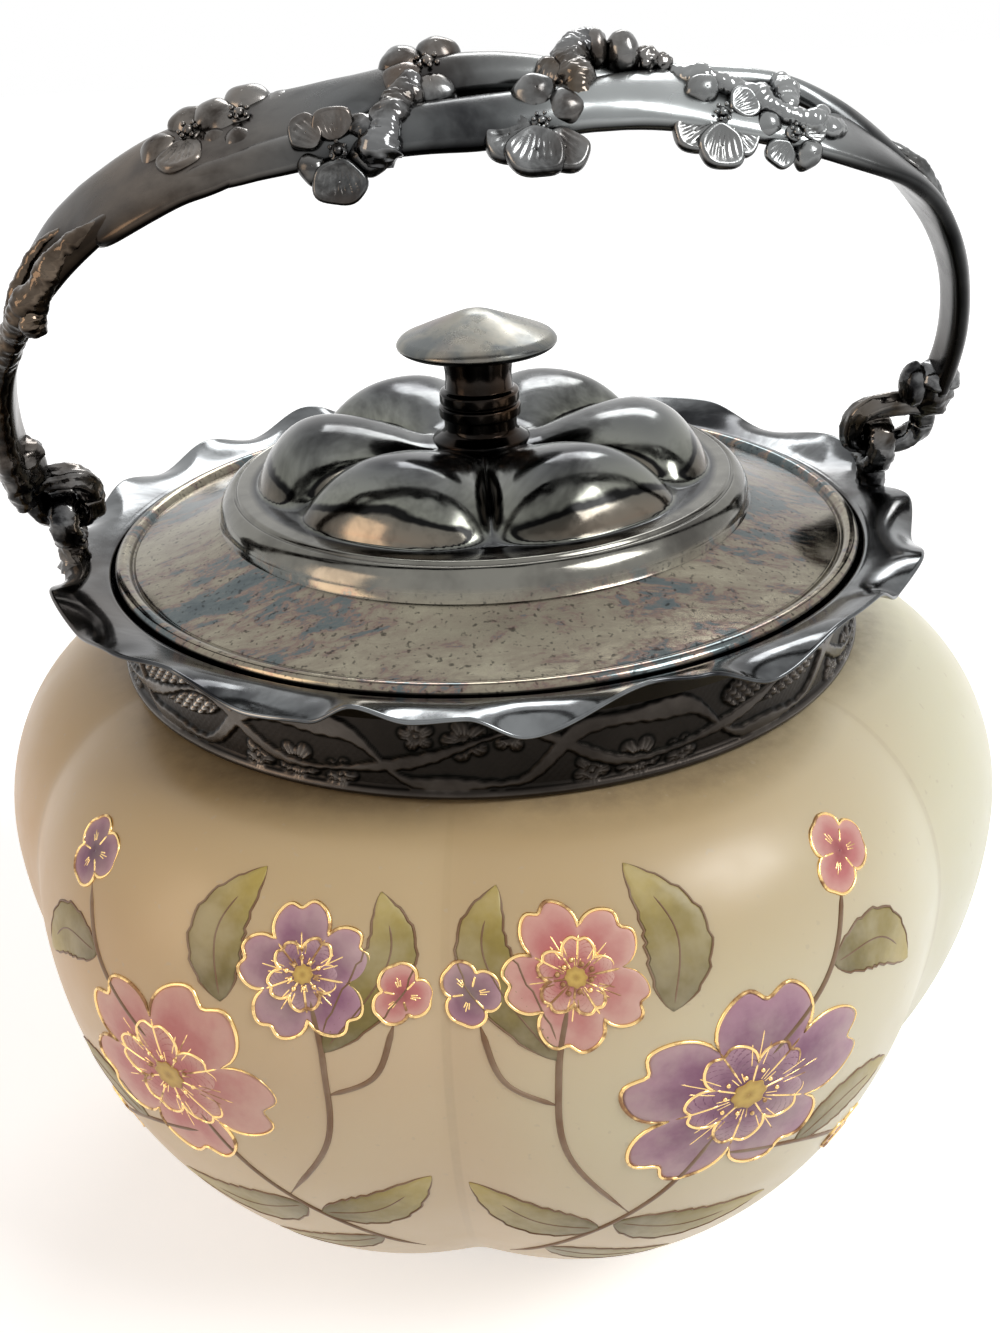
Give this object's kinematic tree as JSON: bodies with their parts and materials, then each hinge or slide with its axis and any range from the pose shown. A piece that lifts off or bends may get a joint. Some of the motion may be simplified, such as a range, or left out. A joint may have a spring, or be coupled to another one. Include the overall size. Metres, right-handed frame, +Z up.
{
  "type": "biscuit jar",
  "caption": "Biscuit jar: lobed opal glass bowl in a plated collar with a ruffled gallery, lift-off domed lid with turned knob, and an arched swing bail dressed with cast blossoms.",
  "frame": {"origin": "centre of the flat base", "axes": "+Z up, +X from the left ear to the right ear, -Y towards the front"},
  "size_m": [0.1928, 0.1918, 0.222],
  "materials": {
    "opal_glass": "satin opal glass",
    "cement": "matt",
    "collar_silver": "darkened silver plate, glossy relief",
    "gallery_silver": "tarnished silver plate, polished",
    "lid_silver": "tarnished silver plate with mottled patina",
    "knob_silver": "tarnished silver plate",
    "bail_silver": "tarnished silver plate, satin",
    "spray_silver": "cast silver plate with dark recesses",
    "fitting_metal": "plain turned metal"
  },
  "bodies": {
    "jar": {"glass_bowl": "opal_glass", "setting_cement": "cement", "collar_band": "collar_silver", "gallery": "gallery_silver", "ear_left": "spray_silver", "ear_right": "spray_silver"},
    "bail": {"bail_band": "bail_silver", "bail_shackle_left": "spray_silver", "bail_shackle_right": "spray_silver", "branch_left_leg": "spray_silver", "branch_left": "spray_silver", "branch_crown": "spray_silver", "branch_right": "spray_silver", "blossom_crown_front": "spray_silver", "blossom_crown_rear": "spray_silver", "blossom_left_upper": "spray_silver", "blossom_left_lower": "spray_silver", "blossom_left_edge": "spray_silver", "blossom_right": "spray_silver", "blossom_right_lower": "spray_silver", "buds_crown": "spray_silver", "leaf_spray": "spray_silver"},
    "lid": {"lid_cover": "lid_silver", "lid_skirt": "lid_silver", "knob_stem": "knob_silver", "knob_cap": "knob_silver", "knob_stud": "fitting_metal", "knob_washer": "fitting_metal", "knob_nut": "fitting_metal"}
  },
  "joints": [
    {"name": "bail_swing", "type": "hinge", "parent": "jar", "child": "bail", "pos_m": [0, 0, 0.1443], "axis": [1, 0, 0], "range_deg": [-106, 54]},
    {"name": "lid_lift", "type": "slide", "parent": "jar", "child": "lid", "axis": [0, 0, 1], "range_m": [0, 0.035]}
  ]
}
